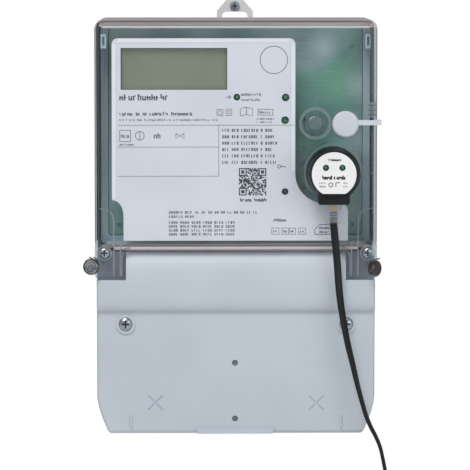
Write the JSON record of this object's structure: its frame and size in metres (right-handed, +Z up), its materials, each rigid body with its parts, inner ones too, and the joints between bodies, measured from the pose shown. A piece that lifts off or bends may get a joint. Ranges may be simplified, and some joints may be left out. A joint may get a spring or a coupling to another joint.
{
  "type": "electricity meter",
  "caption": "Wall-mounted electricity meter with a clear cover over a printed plate and display, a terminal cover, and a magnetic optical reading head on a plugged cord.",
  "frame": {"origin": "centre of the rear housing's back face, where the wall holds the meter", "axes": "+X to the right seen from the front, +Z up, the front faces -Y and the back face lies in y = 0"},
  "size_m": [0.1935, 0.0663, 0.359],
  "materials": {
    "grey_housing": "fine matt texture",
    "pale_eye": "satin",
    "steel": "satin",
    "clear_cover": "clear polished polycarbonate",
    "dark_gasket": "matt",
    "white_plate": "printed satin",
    "display_bezel": "matt",
    "display_glass": "glossy",
    "green_board": "solder mask",
    "green_light": "glossy",
    "clear_plastic": "clear moulded",
    "dark_part": "matt",
    "white_cap": "satin",
    "lead_seal": "pressed",
    "brown_seal": "glossy",
    "pale_cover": "fine matt texture",
    "black_head": "satin",
    "white_disc": "printed film",
    "infrared_window": "polished",
    "gold_contact": "bright",
    "black_cord": "satin sheath",
    "cord_tie": "satin",
    "blue_core": "potted",
    "brass": "plain"
  },
  "bodies": {
    "meter": {"rear_housing": "grey_housing", "meter_cover": "clear_cover", "cover_gasket": "dark_gasket", "nameplate": "white_plate", "display_frame": "display_bezel", "display_glass": "display_glass", "main_board": "green_board", "pulse_light": "green_light", "upper_status_light": "green_light", "lower_status_light": "green_light", "light_sensor": "green_light", "port_steel_ring": "steel", "port_light_guide": "clear_plastic", "power_transformer": "dark_part", "smoothing_capacitor": "dark_part", "backup_cell": "steel", "current_transformer_1": "blue_core", "current_transformer_2": "blue_core", "current_transformer_3": "blue_core", "button_spring": "steel", "left_ear_screw": "steel", "right_ear_screw": "steel", "left_seal_wire": "steel", "right_seal_wire": "steel", "terminal_block": "dark_part", "terminal_clamp_1": "brass", "terminal_clamp_2": "brass", "terminal_clamp_3": "brass", "terminal_clamp_4": "brass", "terminal_clamp_5": "brass", "terminal_clamp_6": "brass", "terminal_clamp_7": "brass", "terminal_clamp_8": "brass"},
    "eye": {"hanging_eye": "pale_eye", "hanging_screw": "steel"},
    "button": {"call_button": "clear_plastic"},
    "cap": {"seal_cap": "white_cap"},
    "silver_seal": {"left_seal": "lead_seal"},
    "brown_seal": {"right_seal": "brown_seal"},
    "cover": {"terminal_cover": "pale_cover", "left_cover_screw": "steel", "right_cover_screw": "steel"},
    "head": {"head_housing": "black_head", "head_label": "white_disc", "head_left_light": "green_light", "head_right_light": "green_light", "head_board": "green_board", "head_magnet": "steel", "head_window": "infrared_window"},
    "plug": {"head_plug": "clear_plastic", "head_plug_contacts": "gold_contact", "cord_run": "black_cord", "cord_coil": "black_cord", "cord_tie": "cord_tie", "cord_tail": "black_cord", "far_plug": "clear_plastic", "far_plug_contacts": "gold_contact"}
  },
  "joints": [
    {"name": "hanging_eye_slide", "type": "slide", "parent": "meter", "child": "eye", "axis": [0, 0, 1], "range_m": [0, 0.012]},
    {"name": "call_button_press", "type": "slide", "parent": "meter", "child": "button", "axis": [0, 1, 0], "range_m": [0, 0.0012], "stiffness_N_per_m": 400, "springref_m": -0.001, "deforming": ["button_spring"]},
    {"name": "seal_cap_swing", "type": "hinge", "parent": "meter", "child": "cap", "pos_m": [0.0861, -0.0434, 0.0628], "axis": [0, 0, 1], "range_deg": [0, 100]},
    {"name": "silver_seal_swing", "type": "hinge", "parent": "meter", "child": "silver_seal", "pos_m": [-0.0868, -0.051, -0.0179], "axis": [0, 1, 0], "range_deg": [-4, 12]},
    {"name": "brown_seal_swing", "type": "hinge", "parent": "meter", "child": "brown_seal", "pos_m": [0.083, -0.0544, -0.0189], "axis": [0, 1, 0], "range_deg": [-12, 12]},
    {"name": "terminal_cover_slide", "type": "slide", "parent": "meter", "child": "cover", "axis": [0, 0, -1], "range_m": [0, 0.112]},
    {"name": "reading_head_pull", "type": "slide", "parent": "meter", "child": "head", "axis": [0, -1, 0], "range_m": [0, 0.03]},
    {"name": "plug_unplug", "type": "slide", "parent": "head", "child": "plug", "axis": [0, 0, -1], "range_m": [0, 0.012]}
  ]
}
